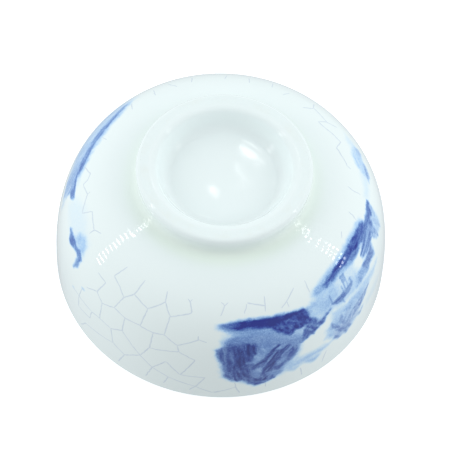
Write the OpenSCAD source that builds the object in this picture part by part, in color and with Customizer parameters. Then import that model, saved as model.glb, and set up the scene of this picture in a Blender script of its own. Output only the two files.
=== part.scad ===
// Porcelain rice bowl: clay body, luted foot ring and three coats of glaze.
// Frame: origin at the centre of the foot's resting land, +Z up through the mouth, millimetres.

/* [Bowl] */
// Outer diameter of the mouth
mouth_d = 115; // [106:1:124]
// Height from the foot's land to the crest of the lip
bowl_h = 56; // [52:1:64]
// Wall thickness at the lip, glaze included
lip_t = 2.4; // [2.0:0.1:3.0]
// Wall thickness where the wall leaves the foot, glaze included
base_t = 4.0; // [3.4:0.1:4.6]
// How far the low shoulder reaches out before it turns up
shoulder_reach = 18; // [14:1:21]
// How far down from the lip the wall stays steep
side_reach = 35.8; // [30:0.2:38]

/* [Foot] */
// Outer diameter of the foot ring
foot_d = 58.8; // [54:0.2:62]
// Height at which the wall leaves the foot
foot_h = 8.3; // [7.6:0.1:9.0]
// Width of the foot ring, from its outer edge to the mouth of the well
ring_w = 7.0; // [6.4:0.1:7.6]
// Width of the bare land that the bowl rests on
land_w = 2.8; // [2.0:0.1:3.2]
// Depth of the well inside the foot ring
well_depth = 6.9; // [6.4:0.1:7.2]

/* [Glaze] */
// Thickness of each coat of glaze
glaze_t = 0.3; // [0.2:0.05:0.4]

/* [Hidden] */

$fn = 96;

clay_colour = [0.93, 0.92, 0.89];
glaze_colour = [0.90, 0.95, 0.95];
well_colour = [0.86, 0.92, 0.91];

mouth_r = mouth_d / 2;
foot_r = foot_d / 2;
lip_r = lip_t / 2;

// The land, set back from the foot's rounded outer edge
land_out = foot_r - 1.4;
land_in = land_out - land_w;
edge_h = 1.8;

// The mouth of the well and the edge of its floor
well_mouth_r = foot_r - ring_w;
well_mouth_h = 1.3;
well_floor_r = well_mouth_r - 5;

// The wall leaves the foot at this radius and slope
root_r = foot_r + 2.1;
root_slope = 0.14;
root_dir = [1, root_slope] / norm([1, root_slope]);

// The luted joint: its height, and the tongue that keys the ring to the body
seam_z = 6.0;
tongue_r = foot_r - 5.0;
tongue_w = 3.0;
tongue_h = 0.8;

// Steps along each curve
edge_n = 5;
side_n = 9;
wall_n = 26;
lip_n = 7;
floor_n = 8;

// ---- curves, as [radius, height] ----

// A cubic curve through four control points c, and its direction
function cubic(c, t) =
    pow(1 - t, 3) * c[0] + 3 * pow(1 - t, 2) * t * c[1]
    + 3 * (1 - t) * t * t * c[2] + pow(t, 3) * c[3];
function cubic_dir(c, t) =
    let (d = pow(1 - t, 2) * (c[1] - c[0]) + 2 * (1 - t) * t * (c[2] - c[1])
        + t * t * (c[3] - c[2]))
    d / norm(d);

// A point moved off its curve by d, to the right of the way the curve runs
function beside(c, t, d) =
    let (v = cubic_dir(c, t))
    cubic(c, t) + d * [v[1], -v[0]];
function run(c, n, d) = [for (i = [0 : n]) beside(c, i / n, d)];
function after_first(p) = [for (i = [1 : len(p) - 1]) p[i]];
function backwards(p) = [for (i = [len(p) - 1 : -1 : 0]) p[i]];

// Outside of the foot, from the land out and up to the wall
edge_c = [
    [land_out, 0],
    [land_out + 0.9, 0],
    [foot_r, edge_h - 1.1],
    [foot_r, edge_h]
];
side_c = [
    [foot_r, edge_h],
    [foot_r, edge_h + 2.4],
    [root_r, foot_h] - 3.9 * root_dir,
    [root_r, foot_h]
];
// Outside of the wall, from the foot to the lip
wall_c = [
    [root_r, foot_h],
    [root_r, foot_h] + shoulder_reach * root_dir,
    [mouth_r, bowl_h - lip_r - side_reach],
    [mouth_r, bowl_h - lip_r]
];
// Inside of the foot, from the land in and up to the well's floor
well_edge_c = [
    [land_in, 0],
    [land_in - 1.3, 0],
    [well_mouth_r + 0.5, well_mouth_h - 0.95],
    [well_mouth_r, well_mouth_h]
];
well_side_c = [
    [well_mouth_r, well_mouth_h],
    [well_mouth_r - 1.0, well_mouth_h + 1.95],
    [well_floor_r + 2.8, well_depth],
    [well_floor_r, well_depth]
];

// The whole outside up to the lip, with depth d under the glazed surface
function outside(d) = concat(
    run(edge_c, edge_n, -d),
    after_first(run(side_c, side_n, -d)),
    after_first(run(wall_c, wall_n, -d))
);

// The lip, a half round in two quarters, from angle a to angle b
function lip(d, a, b) = [
    for (i = [0 : lip_n])
        let (u = a + (b - a) * i / lip_n)
        [mouth_r - lip_r + (lip_r - d) * cos(u), bowl_h - lip_r + (lip_r - d) * sin(u)]
];

// The inside wall keeps a thickness that thins from the foot to the lip
function wall_t(t) = base_t + (lip_t - base_t) * t;
function inside_wall(d) = [
    for (i = [wall_n : -1 : 0])
        beside(wall_c, i / wall_n, d - wall_t(i / wall_n))
];

// The bottom inside is a shallow dish that meets the wall at the wall's own slope
function inside_floor(d) =
    let (e = beside(wall_c, 0, d - base_t))
    [
        for (i = [floor_n - 1 : -1 : 0])
            let (r = e[0] * i / floor_n)
            [r, e[1] - root_slope * (e[0] - r * r / e[0]) / 2]
    ];

// The well, from the land to the axis
function well(d) = concat(
    run(well_edge_c, edge_n, d),
    after_first(run(well_side_c, side_n, d)),
    [[0, well_depth + d]]
);

// ---- solids ----

// All the clay in one section, before the foot is parted from the body
module clay() {
    rotate_extrude()
        polygon(concat(
            [[land_out, 0]],
            outside(glaze_t),
            after_first(lip(glaze_t, 0, 90)),
            after_first(lip(glaze_t, 90, 180)),
            after_first(inside_wall(glaze_t)),
            inside_floor(glaze_t),
            backwards(well(glaze_t)),
            [[land_in, 0]]
        ));
}

// A ring of square section
module band(r_in, r_out, z, h) {
    translate([0, 0, z])
        difference() {
            cylinder(r = r_out, h = h);
            translate([0, 0, -1])
                cylinder(r = r_in, h = h + 2);
        }
}

// Floor, wall and lip, with a groove underneath for the foot's tongue
module bowl_body() {
    color(clay_colour)
        difference() {
            clay();
            translate([0, 0, -1])
                cylinder(r = root_r + 5, h = seam_z + 1);
            band(tongue_r, tongue_r + tongue_w, seam_z - 1, tongue_h + 1);
        }
}

// The foot ring, with the tongue on its upper face
module foot_ring() {
    color(clay_colour)
        union() {
            intersection() {
                clay();
                translate([0, 0, -1])
                    cylinder(r = root_r + 5, h = seam_z + 1);
            }
            band(tongue_r, tongue_r + tongue_w, seam_z - 1, tongue_h + 1);
        }
}

// Glaze on the outside, from the land to the crest of the lip
module outer_glaze() {
    color(glaze_colour)
        rotate_extrude()
            polygon(concat(
                outside(0),
                after_first(lip(0, 0, 90)),
                backwards(lip(glaze_t, 0, 90)),
                after_first(backwards(outside(glaze_t)))
            ));
}

// Glaze on the inside, from the crest of the lip to the bottom
module inner_glaze() {
    color(glaze_colour)
        rotate_extrude()
            polygon(concat(
                lip(0, 90, 180),
                after_first(inside_wall(0)),
                inside_floor(0),
                backwards(inside_floor(glaze_t)),
                backwards(after_first(inside_wall(glaze_t))),
                backwards(lip(glaze_t, 90, 180))
            ));
}

// Glaze inside the foot ring, from the land to the well's floor
module well_glaze() {
    color(well_colour)
        rotate_extrude()
            polygon(concat(
                well(0),
                backwards(well(glaze_t))
            ));
}

bowl_body();
foot_ring();
outer_glaze();
inner_glaze();
well_glaze();
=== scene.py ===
import math

import bpy
import numpy as np
from mathutils import Matrix, Vector


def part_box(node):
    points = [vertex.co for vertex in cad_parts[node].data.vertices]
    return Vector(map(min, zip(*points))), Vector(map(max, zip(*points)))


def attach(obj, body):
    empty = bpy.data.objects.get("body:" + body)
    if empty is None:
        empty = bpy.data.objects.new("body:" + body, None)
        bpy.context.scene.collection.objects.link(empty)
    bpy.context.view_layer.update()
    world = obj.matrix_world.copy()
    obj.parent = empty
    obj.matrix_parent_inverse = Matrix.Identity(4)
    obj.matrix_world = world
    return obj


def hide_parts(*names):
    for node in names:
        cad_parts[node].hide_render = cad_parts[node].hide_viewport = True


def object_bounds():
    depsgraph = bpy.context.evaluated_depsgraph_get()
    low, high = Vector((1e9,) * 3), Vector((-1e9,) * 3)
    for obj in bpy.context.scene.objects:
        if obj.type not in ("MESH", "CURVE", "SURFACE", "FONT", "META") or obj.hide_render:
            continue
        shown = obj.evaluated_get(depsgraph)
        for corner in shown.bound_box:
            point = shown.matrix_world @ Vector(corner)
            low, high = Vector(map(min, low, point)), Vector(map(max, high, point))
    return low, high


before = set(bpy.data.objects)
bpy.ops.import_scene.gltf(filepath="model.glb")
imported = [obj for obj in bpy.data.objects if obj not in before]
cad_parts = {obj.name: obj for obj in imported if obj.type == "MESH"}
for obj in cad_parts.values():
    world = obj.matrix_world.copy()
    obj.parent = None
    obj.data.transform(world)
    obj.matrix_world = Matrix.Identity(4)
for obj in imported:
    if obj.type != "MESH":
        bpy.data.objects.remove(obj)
cad_lo, cad_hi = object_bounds()
scene = bpy.context.scene
scene.view_settings.view_transform = "Standard"

MM = 0.001
mouth_r = (cad_hi.x - cad_lo.x) / 2 / MM
bowl_h = (cad_hi.z - cad_lo.z) / MM
well_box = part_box("well_glaze")
land_in = (well_box[1].x - well_box[0].x) / 2 / MM
mid_z = (cad_lo.z + cad_hi.z) / 2


# ---------------- helpers for materials

def node(tree, kind, **values):
    """A new node with these settings and unlinked input values."""
    n = tree.nodes.new(kind)
    for key, value in values.items():
        if hasattr(n, key):
            setattr(n, key, value)
        else:
            n.inputs[key.replace("_", " ")].default_value = value
    return n


def new_material(name):
    """A material, its node tree and its Principled shader."""
    m = bpy.data.materials.new(name)
    m.use_nodes = True
    return m, m.node_tree, m.node_tree.nodes["Principled BSDF"]


def srgb(r, g, b):
    """Linear colour from the usual 0 to 255 values."""
    def lin(c):
        c /= 255
        return c / 12.92 if c <= 0.04045 else ((c + 0.055) / 1.055) ** 2.4
    return (lin(r), lin(g), lin(b), 1)


def ramp(tree, stops):
    n = tree.nodes.new("ShaderNodeValToRGB")
    el = n.color_ramp.elements
    el[0].position, el[0].color = stops[0]
    el[1].position, el[1].color = stops[-1]
    for p, c in stops[1:-1]:
        e = el.new(p)
        e.color = c
    return n


def mix_colour(tree, factor, a, b, blend="MIX"):
    n = tree.nodes.new("ShaderNodeMix")
    n.data_type = "RGBA"
    n.blend_type = blend
    for socket, value in ((n.inputs[0], factor), (n.inputs[6], a), (n.inputs[7], b)):
        if isinstance(value, (int, float, tuple)):
            socket.default_value = value
        else:
            tree.links.new(value, socket)
    return n.outputs[2]


def maths(tree, kind, *values, clamp=False):
    n = tree.nodes.new("ShaderNodeMath")
    n.operation = kind
    n.use_clamp = clamp
    for socket, value in zip(n.inputs, values):
        if isinstance(value, (int, float)):
            socket.default_value = value
        else:
            tree.links.new(value, socket)
    return n.outputs[0]


def attribute(tree, name):
    """A value that the mesh carries at its vertices."""
    return node(tree, "ShaderNodeAttribute", attribute_name=name).outputs["Fac"]


def mottle(tree, scale, detail=3.0, roughness=0.55):
    """Noise that stays with the object, from 0 to 1."""
    coords = tree.nodes.new("ShaderNodeTexCoord")
    n = node(tree, "ShaderNodeTexNoise", Scale=scale, Detail=detail, Roughness=roughness)
    tree.links.new(coords.outputs["Object"], n.inputs["Vector"])
    return n.outputs["Fac"]


def uneven(tree, shader, height, strength, depth):
    """Bumps the shader's surface by height, up to depth in metres."""
    bump = node(tree, "ShaderNodeBump", Strength=strength, Distance=depth)
    tree.links.new(height, bump.inputs["Height"])
    tree.links.new(bump.outputs[0], shader.inputs["Normal"])


# ---------------- camera and light

ELEVATION, ROLL = 58, 3  # degrees
DISTANCE = 0.70  # metres from the middle of the bowl


def camera_axes(elevation, roll):
    """Right, up and back of a camera that looks up at the foot from the -Y side."""
    e, r = math.radians(elevation), math.radians(roll)
    back = Vector((0, -math.cos(e), -math.sin(e)))
    right = Vector((-1, 0, 0))
    up = back.cross(right)
    return right * math.cos(r) + up * math.sin(r), up * math.cos(r) - right * math.sin(r), back


cam_data = bpy.data.cameras.new("camera")
cam = bpy.data.objects.new("camera", cam_data)
scene.collection.objects.link(cam)
cx, cy, cz = camera_axes(ELEVATION, ROLL)
place = Vector((0, 0, mid_z)) + cz * DISTANCE
cam.matrix_world = Matrix((
    (cx.x, cy.x, cz.x, place.x),
    (cx.y, cy.y, cz.y, place.y),
    (cx.z, cy.z, cz.z, place.z),
    (0, 0, 0, 1),
))
cam_data.lens = 163.84
cam_data.shift_x = 0.006
cam_data.shift_y = -0.032
cam_data.clip_start, cam_data.clip_end = 0.01, 20
scene.camera = cam


def on_rig(obj, x, y, z, aim=True):
    """Hangs obj from the camera, at x right, y up and z towards the camera from the bowl, in metres."""
    obj.parent = cam
    here = Vector((x, y, z - DISTANCE))
    obj.location = here
    if aim:
        obj.rotation_mode = "QUATERNION"
        obj.rotation_quaternion = (Vector((0, 0, -DISTANCE)) - here).to_track_quat("-Z", "Y")


def soft_box(name, where, size, power):
    """A wide white lamp that lights the bowl but isn't mirrored in it."""
    data = bpy.data.lights.new(name, "AREA")
    data.shape = "RECTANGLE"
    data.size, data.size_y = size
    data.energy = power
    light = bpy.data.objects.new(name, data)
    scene.collection.objects.link(light)
    on_rig(light, *where)
    light.visible_camera = light.visible_glossy = False


def shade_card(x, y, z, width, height):
    """A dark card that keeps some of the room's light off the side nearest the camera."""
    me = bpy.data.meshes.new("shade_card")
    w, h = width / 2, height / 2
    me.from_pydata([(-w, -h, 0), (w, -h, 0), (w, h, 0), (-w, h, 0)], [], [(0, 1, 2, 3)])
    m, _, shader = new_material("black_paper")
    shader.inputs["Base Color"].default_value = (0.02, 0.02, 0.02, 1)
    me.materials.append(m)
    obj = bpy.data.objects.new("shade_card", me)
    scene.collection.objects.link(obj)
    on_rig(obj, x, y, z)
    obj.visible_camera = obj.visible_glossy = False


def surround():
    """White behind the bowl, a dimmer room that lights it, and a dimmer one still in its reflections."""
    world = bpy.data.worlds.new("studio")
    scene.world = world
    world.use_nodes = True
    t = world.node_tree
    t.nodes.clear()
    seen = node(t, "ShaderNodeBackground", Color=(1, 1, 1, 1), Strength=1.0)
    room = node(t, "ShaderNodeBackground", Color=srgb(250, 253, 254), Strength=0.73)
    sheen = node(t, "ShaderNodeBackground", Color=srgb(240, 248, 255), Strength=0.62)
    ray = node(t, "ShaderNodeLightPath")
    unseen = node(t, "ShaderNodeMixShader")
    whole = node(t, "ShaderNodeMixShader")
    out = node(t, "ShaderNodeOutputWorld")
    t.links.new(ray.outputs["Is Glossy Ray"], unseen.inputs[0])
    t.links.new(room.outputs[0], unseen.inputs[1])
    t.links.new(sheen.outputs[0], unseen.inputs[2])
    t.links.new(ray.outputs["Is Camera Ray"], whole.inputs[0])
    t.links.new(unseen.outputs[0], whole.inputs[1])
    t.links.new(seen.outputs[0], whole.inputs[2])
    t.links.new(whole.outputs[0], out.inputs[0])


soft_box("back_light", (0.0, 0.62, -0.08), (0.8, 0.5), 0.88)
soft_box("left_light", (-0.6, 0.1, 0.3), (0.5, 0.6), 1.75)
soft_box("right_light", (0.6, 0.1, 0.3), (0.5, 0.6), 1.75)
shade_card(0.0, -0.40, 0.45, 0.44, 0.34)
surround()


# ---------------- shape of the bowl, in mm

LIP_T, BASE_T = 2.4, 4.0  # the wall at the lip and at the foot
COAT = 0.27  # a coat of glaze, a hair thinner than the CAD's, so its back stays clear of the clay
LAND_W, LAND_SET_BACK = 2.8, 1.4
EDGE_H = 1.8
ROOT_OUT, ROOT_H, ROOT_SLOPE = 2.1, 8.3, 0.14
SHOULDER_REACH, SIDE_REACH = 18, 35.8
RING_W, WELL_MOUTH_H, WELL_FLOOR_H = 7, 1.3, 6.9

lip_r = LIP_T / 2
foot_r = land_in + LAND_W + LAND_SET_BACK
well_r = foot_r - RING_W
root = np.array([foot_r + ROOT_OUT, ROOT_H])
root_dir = np.array([1, ROOT_SLOPE]) / math.hypot(1, ROOT_SLOPE)

# Each curve of the section, as the four points of a cubic
EDGE = np.array([[foot_r - LAND_SET_BACK, 0], [foot_r - 0.5, 0], [foot_r, 0.7], [foot_r, EDGE_H]])
SIDE = np.array([[foot_r, EDGE_H], [foot_r, 4.2], root - 3.9 * root_dir, root])
WALL = np.array([root, root + SHOULDER_REACH * root_dir,
                 [mouth_r, bowl_h - lip_r - SIDE_REACH], [mouth_r, bowl_h - lip_r]])
WELL_EDGE = np.array([[land_in, 0], [land_in - 1.3, 0], [well_r + 0.5, 0.35], [well_r, WELL_MOUTH_H]])
WELL_SIDE = np.array([[well_r, WELL_MOUTH_H], [well_r - 1, 3.25], [well_r - 2.2, WELL_FLOOR_H],
                      [well_r - 5, WELL_FLOOR_H]])


def cubic(c, t, off=0.0):
    """Points on a cubic curve at t, moved off it by off to the right of the way it runs."""
    t = np.asarray(t, float)[:, None]
    u = 1 - t
    p = u**3 * c[0] + 3 * u * u * t * c[1] + 3 * u * t * t * c[2] + t**3 * c[3]
    d = u * u * (c[1] - c[0]) + 2 * u * t * (c[2] - c[1]) + t * t * (c[3] - c[2])
    d /= np.linalg.norm(d, axis=1, keepdims=True)
    return p + np.stack([d[:, 1], -d[:, 0]], 1) * np.reshape(off, (-1, 1))


def lengths(points):
    """Length along a line of points, at each of them."""
    steps = np.linalg.norm(np.diff(points, axis=0), axis=1)
    return np.concatenate([[0], np.cumsum(steps)])


def lip(a, b, n, off=0.0):
    u = np.radians(np.linspace(a, b, n))
    return np.stack([mouth_r - lip_r + (lip_r - off) * np.cos(u),
                     bowl_h - lip_r + (lip_r - off) * np.sin(u)], 1)


def outside(n_edge, n_side, t_wall, off=0.0):
    return np.concatenate([
        cubic(EDGE, np.linspace(0, 1, n_edge), -off)[:-1],
        cubic(SIDE, np.linspace(0, 1, n_side), -off)[:-1],
        cubic(WALL, t_wall, -off),
    ])


def inside_wall(t, off=0.0):
    return cubic(WALL, t, off - (BASE_T + (LIP_T - BASE_T) * np.asarray(t)))


def inside_floor(n, off=0.0):
    e = inside_wall([0.0], off)[0]
    r = np.linspace(e[0], 0, n)
    return np.stack([r, e[1] - ROOT_SLOPE * (e[0] - r * r / e[0]) / 2], 1)


def well(n_edge, n_side, n_floor, off=0.0):
    side = cubic(WELL_SIDE, np.linspace(0, 1, n_side), off)
    r = np.linspace(side[-1, 0], 0, n_floor)
    return np.concatenate([
        cubic(WELL_EDGE, np.linspace(0, 1, n_edge), off)[:-1],
        side[:-1],
        np.stack([r, np.full(n_floor, side[-1, 1])], 1),
    ])


# The wall's own measure: millimetres along it from the root, and back to the curve's t
wall_t = np.linspace(0, 1, 2001)
wall_s = lengths(cubic(WALL, wall_t))
WALL_LEN = wall_s[-1]


def wall_at(a, s, proud=0.0):
    """Points on the outside wall: a degrees round from -Y towards -X, s mm up from the root."""
    a, s = np.radians(np.asarray(a, float)), np.asarray(s, float)
    t = np.interp(s, wall_s, wall_t)
    p = cubic(WALL, t.ravel(), np.broadcast_to(proud, s.shape).ravel())
    r, z = p[:, 0].reshape(s.shape), p[:, 1].reshape(s.shape)
    return np.stack([-r * np.sin(a), -r * np.cos(a), z], -1)


# ---------------- small lamps, mirrored in the glaze

LAMP_REACH = 0.5  # metres from the bowl
well_normal = np.array([-cx.z, -cy.z, -cz.z])
well_point = well_normal * (mid_z - WELL_FLOOR_H * MM)


def glow_mesh(name, polygons, strength):
    """Bright flat shapes, seen only in reflections. Their corners are in the camera's axes."""
    verts, faces = [], []
    for poly in polygons:
        faces.append(tuple(range(len(verts), len(verts) + len(poly))))
        verts.extend(poly)
    m = bpy.data.materials.new(name)
    m.use_nodes = True
    t = m.node_tree
    t.nodes.clear()
    glow = node(t, "ShaderNodeEmission", Color=(1, 1, 1, 1), Strength=strength)
    out = node(t, "ShaderNodeOutputMaterial")
    t.links.new(glow.outputs[0], out.inputs[0])
    me = bpy.data.meshes.new(name)
    me.from_pydata([tuple(v) for v in verts], [], faces)
    me.materials.append(m)
    obj = bpy.data.objects.new(name, me)
    scene.collection.objects.link(obj)
    on_rig(obj, 0, 0, 0, aim=False)
    obj.visible_camera = obj.visible_diffuse = obj.visible_shadow = False


def mirrored(points, at=(0, 0)):
    """Where a shape has to hang to be seen in the well's floor at these x, y mm, behind the bowl."""
    p = np.array([(x + at[0], y + at[1], -LAMP_REACH / MM) for x, y in points]) * MM
    return p - 2 * ((p - well_point) @ well_normal)[:, None] * well_normal


def openings():
    """Two bright openings, the slivers between them and a few short streaks."""
    shapes = [
        mirrored([(-5.6, 4.2), (-1.7, 3), (2.2, 0.6), (5.6, -3), (4.5, -4.2), (0, -3.6),
                  (-3.4, -1), (-5.2, 2)], (16, 34)),
        mirrored([(-2.9, 2.3), (-0.8, 2.7), (1.4, 1.6), (2, -0.8), (3.3, -3.2), (1.2, -2.8),
                  (-0.2, -0.8), (-2.6, 0.9)], (-5, 11.5)),
        mirrored([(-1, 0.8), (0.4, 0.4), (1.2, -0.8), (-0.2, -0.4)], (1.6, 31)),
        mirrored([(-1, 0.8), (0.6, 0.6), (1, -0.6), (-0.6, -0.8)], (23, 29.5)),
        mirrored([(-0.6, 0.6), (0.6, 0.6), (0.6, -0.6), (-0.6, -0.6)], (25, 27.5)),
        mirrored([(-1.2, 0.3), (1.2, 0.6), (1, -0.5), (-0.8, -0.6)], (20, 26)),
    ]
    for x0, y0, x1, y1 in ((7, 26.5, 12, 24.5), (9.5, 22.8, 13, 20), (12, 19, 17, 17.3), (8, 15.8, 10, 14),
                           (13, 16.3, 18, 18), (8.5, 24, 10, 22.5), (12.5, 15, 13.5, 13)):
        shapes.append(mirrored([(x0, y0), (x1, y1), (x1 + 0.3, y1 + 0.45), (x0 + 0.3, y0 + 0.45)]))
    return shapes


def hung_for(a, s):
    """Where a lamp has to hang to be mirrored by the wall at a, s."""
    p = wall_at(a, s) * MM
    onward = wall_at(a + 0.05, s) - wall_at(a - 0.05, s)
    upward = wall_at(a, s + 0.01) - wall_at(a, s - 0.01)
    n = np.cross(onward, upward)
    n /= np.linalg.norm(n)
    look = p - np.array(place)
    look /= np.linalg.norm(look)
    p = p + (look - 2 * look.dot(n) * n) * LAMP_REACH - np.array((0, 0, mid_z))
    return np.array([p.dot(np.array(axis)) for axis in (cx, cy, cz)])


def lamp_bar(a0, s0, a1, s1, half):
    """A bar mirrored along the line from a0, s0 to a1, s1, and half mm to each side of it."""
    return [hung_for(*q) for q in ((a0, s0 - half), (a1, s1 - half), (a1, s1 + half), (a0, s0 + half))]


def ladders():
    """Two ladders of lamps: plain bars on the left, rows of three short ones on the right."""
    bars = [lamp_bar(-55.3, s, -51.8, s + 0.15, 0.25) for s in np.arange(20.2, 4.2, -1.62)]
    bars.append(lamp_bar(-52.4, 5.7, -49.8, 5.2, 0.6))
    bars += [lamp_bar(-53.4, s, -51.0, s, 0.22) for s in (3.6, 2.4, 1.3)]
    for s, a in ((18.1, 57.6), (16.2, 57.6), (14.3, 57.6), (12.7, 57.2), (11.3, 56.6), (9.7, 56.3),
                 (7.6, 55.6), (4.7, 55.1), (2.8, 56), (1.2, 56.9)):
        for da in (-2, 0, 2):
            level = s - da * 0.17
            bars.append(lamp_bar(a + da - 0.5, level, a + da + 0.5, level, 0.3))
    return bars


glow_mesh("openings", openings(), 9)
glow_mesh("rungs", ladders(), 10)


# ---------------- meshes

def build_mesh(name, verts, faces, material):
    me = bpy.data.meshes.new(name)
    me.from_pydata((verts * MM).tolist(), [], faces)
    me.polygons.foreach_set("use_smooth", np.ones(len(me.polygons), bool))
    me.update()
    me.materials.append(material)
    obj = bpy.data.objects.new(name, me)
    scene.collection.objects.link(obj)
    return obj


def volume(verts, faces):
    """Six times the volume inside the faces, below zero where they face inwards."""
    total = 0.0
    for k in (3, 4):
        f = np.array([q for q in faces if len(q) == k])
        if not len(f):
            continue
        for i in range(1, k - 1):
            a, b, c = verts[f[:, 0]], verts[f[:, i]], verts[f[:, i + 1]]
            total += np.einsum("ij,ij->i", a, np.cross(b, c)).sum()
    return total


def lathe(name, section, columns, material):
    """Turns a section round the axis.

    A section that starts and ends on the axis closes there, and any other closes on itself.
    """
    angle = np.radians(np.arange(columns) * 360 / columns - 180)
    poles = section[0, 0] < 1e-6
    verts, rings = [], []
    count = 0
    for r, z in section:
        if r < 1e-6:
            rings.append(np.full(columns, count))
            verts.append([[0, 0, z]])
            count += 1
        else:
            rings.append(np.arange(count, count + columns))
            verts.append(np.stack([-r * np.sin(angle), -r * np.cos(angle),
                                   np.full(columns, z)], 1))
            count += columns
    verts = np.concatenate(verts)
    faces = []
    pairs = list(zip(rings, rings[1:])) + ([] if poles else [(rings[-1], rings[0])])
    for a, b in pairs:
        a2, b2 = np.roll(a, -1), np.roll(b, -1)
        if a[0] == a[1]:
            q = np.stack([a, b2, b], 1)
        elif b[0] == b[1]:
            q = np.stack([a, a2, b], 1)
        else:
            q = np.stack([a, a2, b2, b], 1)
        faces.extend(q.tolist())
    if volume(verts, faces) < 0:
        faces = [q[::-1] for q in faces]
    obj = build_mesh(name, verts, faces, material)
    obj.data.set_sharp_from_angle(angle=math.radians(42))
    return obj


# ---------------- brushwork

RAD = 0.87  # mm to a degree, at the height of the painting
FRONT_DEPTH = 1.08  # how much deeper the blue of the front is laid than its washes say
GRAIN = 1.6


def smooth(x):
    x = np.clip(x, 0, 1)
    return x * x * (3 - 2 * x)


def lattice(ix, iy, seed):
    h = (ix * 374761393 + iy * 668265263 + seed * 974711) & 0xFFFFFFFF
    h = ((h ^ (h >> 13)) * 1274126177) & 0xFFFFFFFF
    return ((h ^ (h >> 16)) & 0xFFFF) / 65535.0


def noise(x, y, seed):
    """Value noise from -1 to 1."""
    ix, iy = np.floor(x).astype(np.int64), np.floor(y).astype(np.int64)
    fx, fy = smooth(x - ix), smooth(y - iy)
    a = lattice(ix, iy, seed) * (1 - fx) + lattice(ix + 1, iy, seed) * fx
    b = lattice(ix, iy + 1, seed) * (1 - fx) + lattice(ix + 1, iy + 1, seed) * fx
    return 2 * (a * (1 - fy) + b * fy) - 1


def fbm(x, y, seed, octaves=4):
    total, amp, norm = 0.0, 1.0, 0.0
    for k in range(octaves):
        total = total + amp * noise(x * 2**k, y * 2**k, seed + 31 * k)
        norm += amp
        amp *= 0.55
    return total / norm


class Chart:
    """Density and tone of the blue on points of the wall, laid down wash by wash.

    Every shape ends with its wash: the density, the tone (0 cobalt, 1 violet), and what grain() takes.
    Widths of soft edges and the wobble of an outline are in mm.
    """

    def __init__(self, a, s):
        self.a, self.s = a, s
        self.u = a * RAD
        self.ink = np.zeros_like(a)
        self.tone = np.zeros_like(a)
        self.seed = 7

    def wobble(self, amount):
        """The points, shifted a little so that edges look brushed."""
        self.seed += 17
        k = self.seed
        da = amount * fbm(self.u * 0.55, self.s * 0.55, k, 5) / RAD
        ds = amount * fbm(self.u * 0.55 + 90, self.s * 0.55, k + 5, 5)
        return self.a + da, self.s + ds

    def grain(self, amount, angle=None, length=1.0, width=1.0):
        """A factor round 1: even mottling, or streaks that run at angle (degrees from +a towards +s)."""
        self.seed += 13
        if angle is None:
            return 1 + GRAIN * amount * fbm(self.u / width, self.s / width, self.seed, 4)
        c, d = math.cos(math.radians(angle)), math.sin(math.radians(angle))
        lengthwise, across = self.u * c + self.s * d, -self.u * d + self.s * c
        return 1 + GRAIN * amount * fbm(lengthwise / length, across / width, self.seed, 4)

    def lay(self, mask, density, tone=None, grain=None):
        target = np.clip(density * self.grain(*grain) if grain else density, 0, 1)
        self.ink += mask * (target - self.ink)
        if tone is not None:
            self.tone += mask * (tone - self.tone)

    def band(self, top, bottom, edges, *wash):
        """Between two lines that run round, the first nearer the foot. Edges: top, bottom, ends, wobble."""
        soft_top, soft_bottom, soft_end, wobble = edges
        top, bottom = np.array(top, float), np.array(bottom, float)
        mid = (top[0, 0] + top[-1, 0]) / 2
        a, s = self.wobble(wobble)
        a = (a - mid + 180) % 360 - 180
        t = np.interp(a, top[:, 0] - mid, top[:, 1])
        b = np.interp(a, bottom[:, 0] - mid, bottom[:, 1])
        m = smooth((s - t) / soft_top + 0.5) * smooth((b - s) / soft_bottom + 0.5)
        lo, hi = top[0, 0] - mid, top[-1, 0] - mid
        self.lay(m * smooth((a - lo) / soft_end + 0.5) * smooth((hi - a) / soft_end + 0.5), *wash)

    def patch(self, points, edges, *wash):
        """Inside a closed outline. Edges: softness, wobble."""
        soft, wobble = edges
        p = np.array(points, float)
        mid = p[:, 0].mean()
        a, s = self.wobble(wobble)
        x = ((a - mid + 180) % 360 - 180) * RAD
        px, py = (p[:, 0] - mid) * RAD, p[:, 1]
        dist = np.full(x.shape, 1e9)
        inside = np.zeros(x.shape, bool)
        for i in range(len(p)):
            j = (i + 1) % len(p)
            ex, ey = px[j] - px[i], py[j] - py[i]
            t = np.clip(((x - px[i]) * ex + (s - py[i]) * ey) / (ex * ex + ey * ey + 1e-9), 0, 1)
            dist = np.minimum(dist, np.hypot(x - px[i] - t * ex, s - py[i] - t * ey))
            cross = (py[i] > s) != (py[j] > s)
            with np.errstate(divide="ignore", invalid="ignore"):
                at = px[i] + (s - py[i]) * ex / (ey if ey else 1e-9)
            inside ^= cross & (x < at)
        self.lay(smooth(0.5 + np.where(inside, dist, -dist) / soft), *wash)

    def stroke(self, points, edges, *wash):
        """Along an open line. Edges: half width, softness, wobble. A point's third number scales it."""
        half, soft, wobble = edges
        p = np.array([(q + (1.0,))[:3] for q in points], float)
        mid = p[:, 0].mean()
        a, s = self.wobble(wobble)
        x = ((a - mid + 180) % 360 - 180) * RAD
        px, py, w = (p[:, 0] - mid) * RAD, p[:, 1], p[:, 2] * half
        dist = np.full(x.shape, 1e9)
        for i in range(len(p) - 1):
            ex, ey = px[i + 1] - px[i], py[i + 1] - py[i]
            t = np.clip(((x - px[i]) * ex + (s - py[i]) * ey) / (ex * ex + ey * ey + 1e-9), 0, 1)
            d = np.hypot(x - px[i] - t * ex, s - py[i] - t * ey)
            dist = np.minimum(dist, d - (w[i] + (w[i + 1] - w[i]) * t))
        self.lay(smooth(0.5 - dist / soft), *wash)


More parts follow.
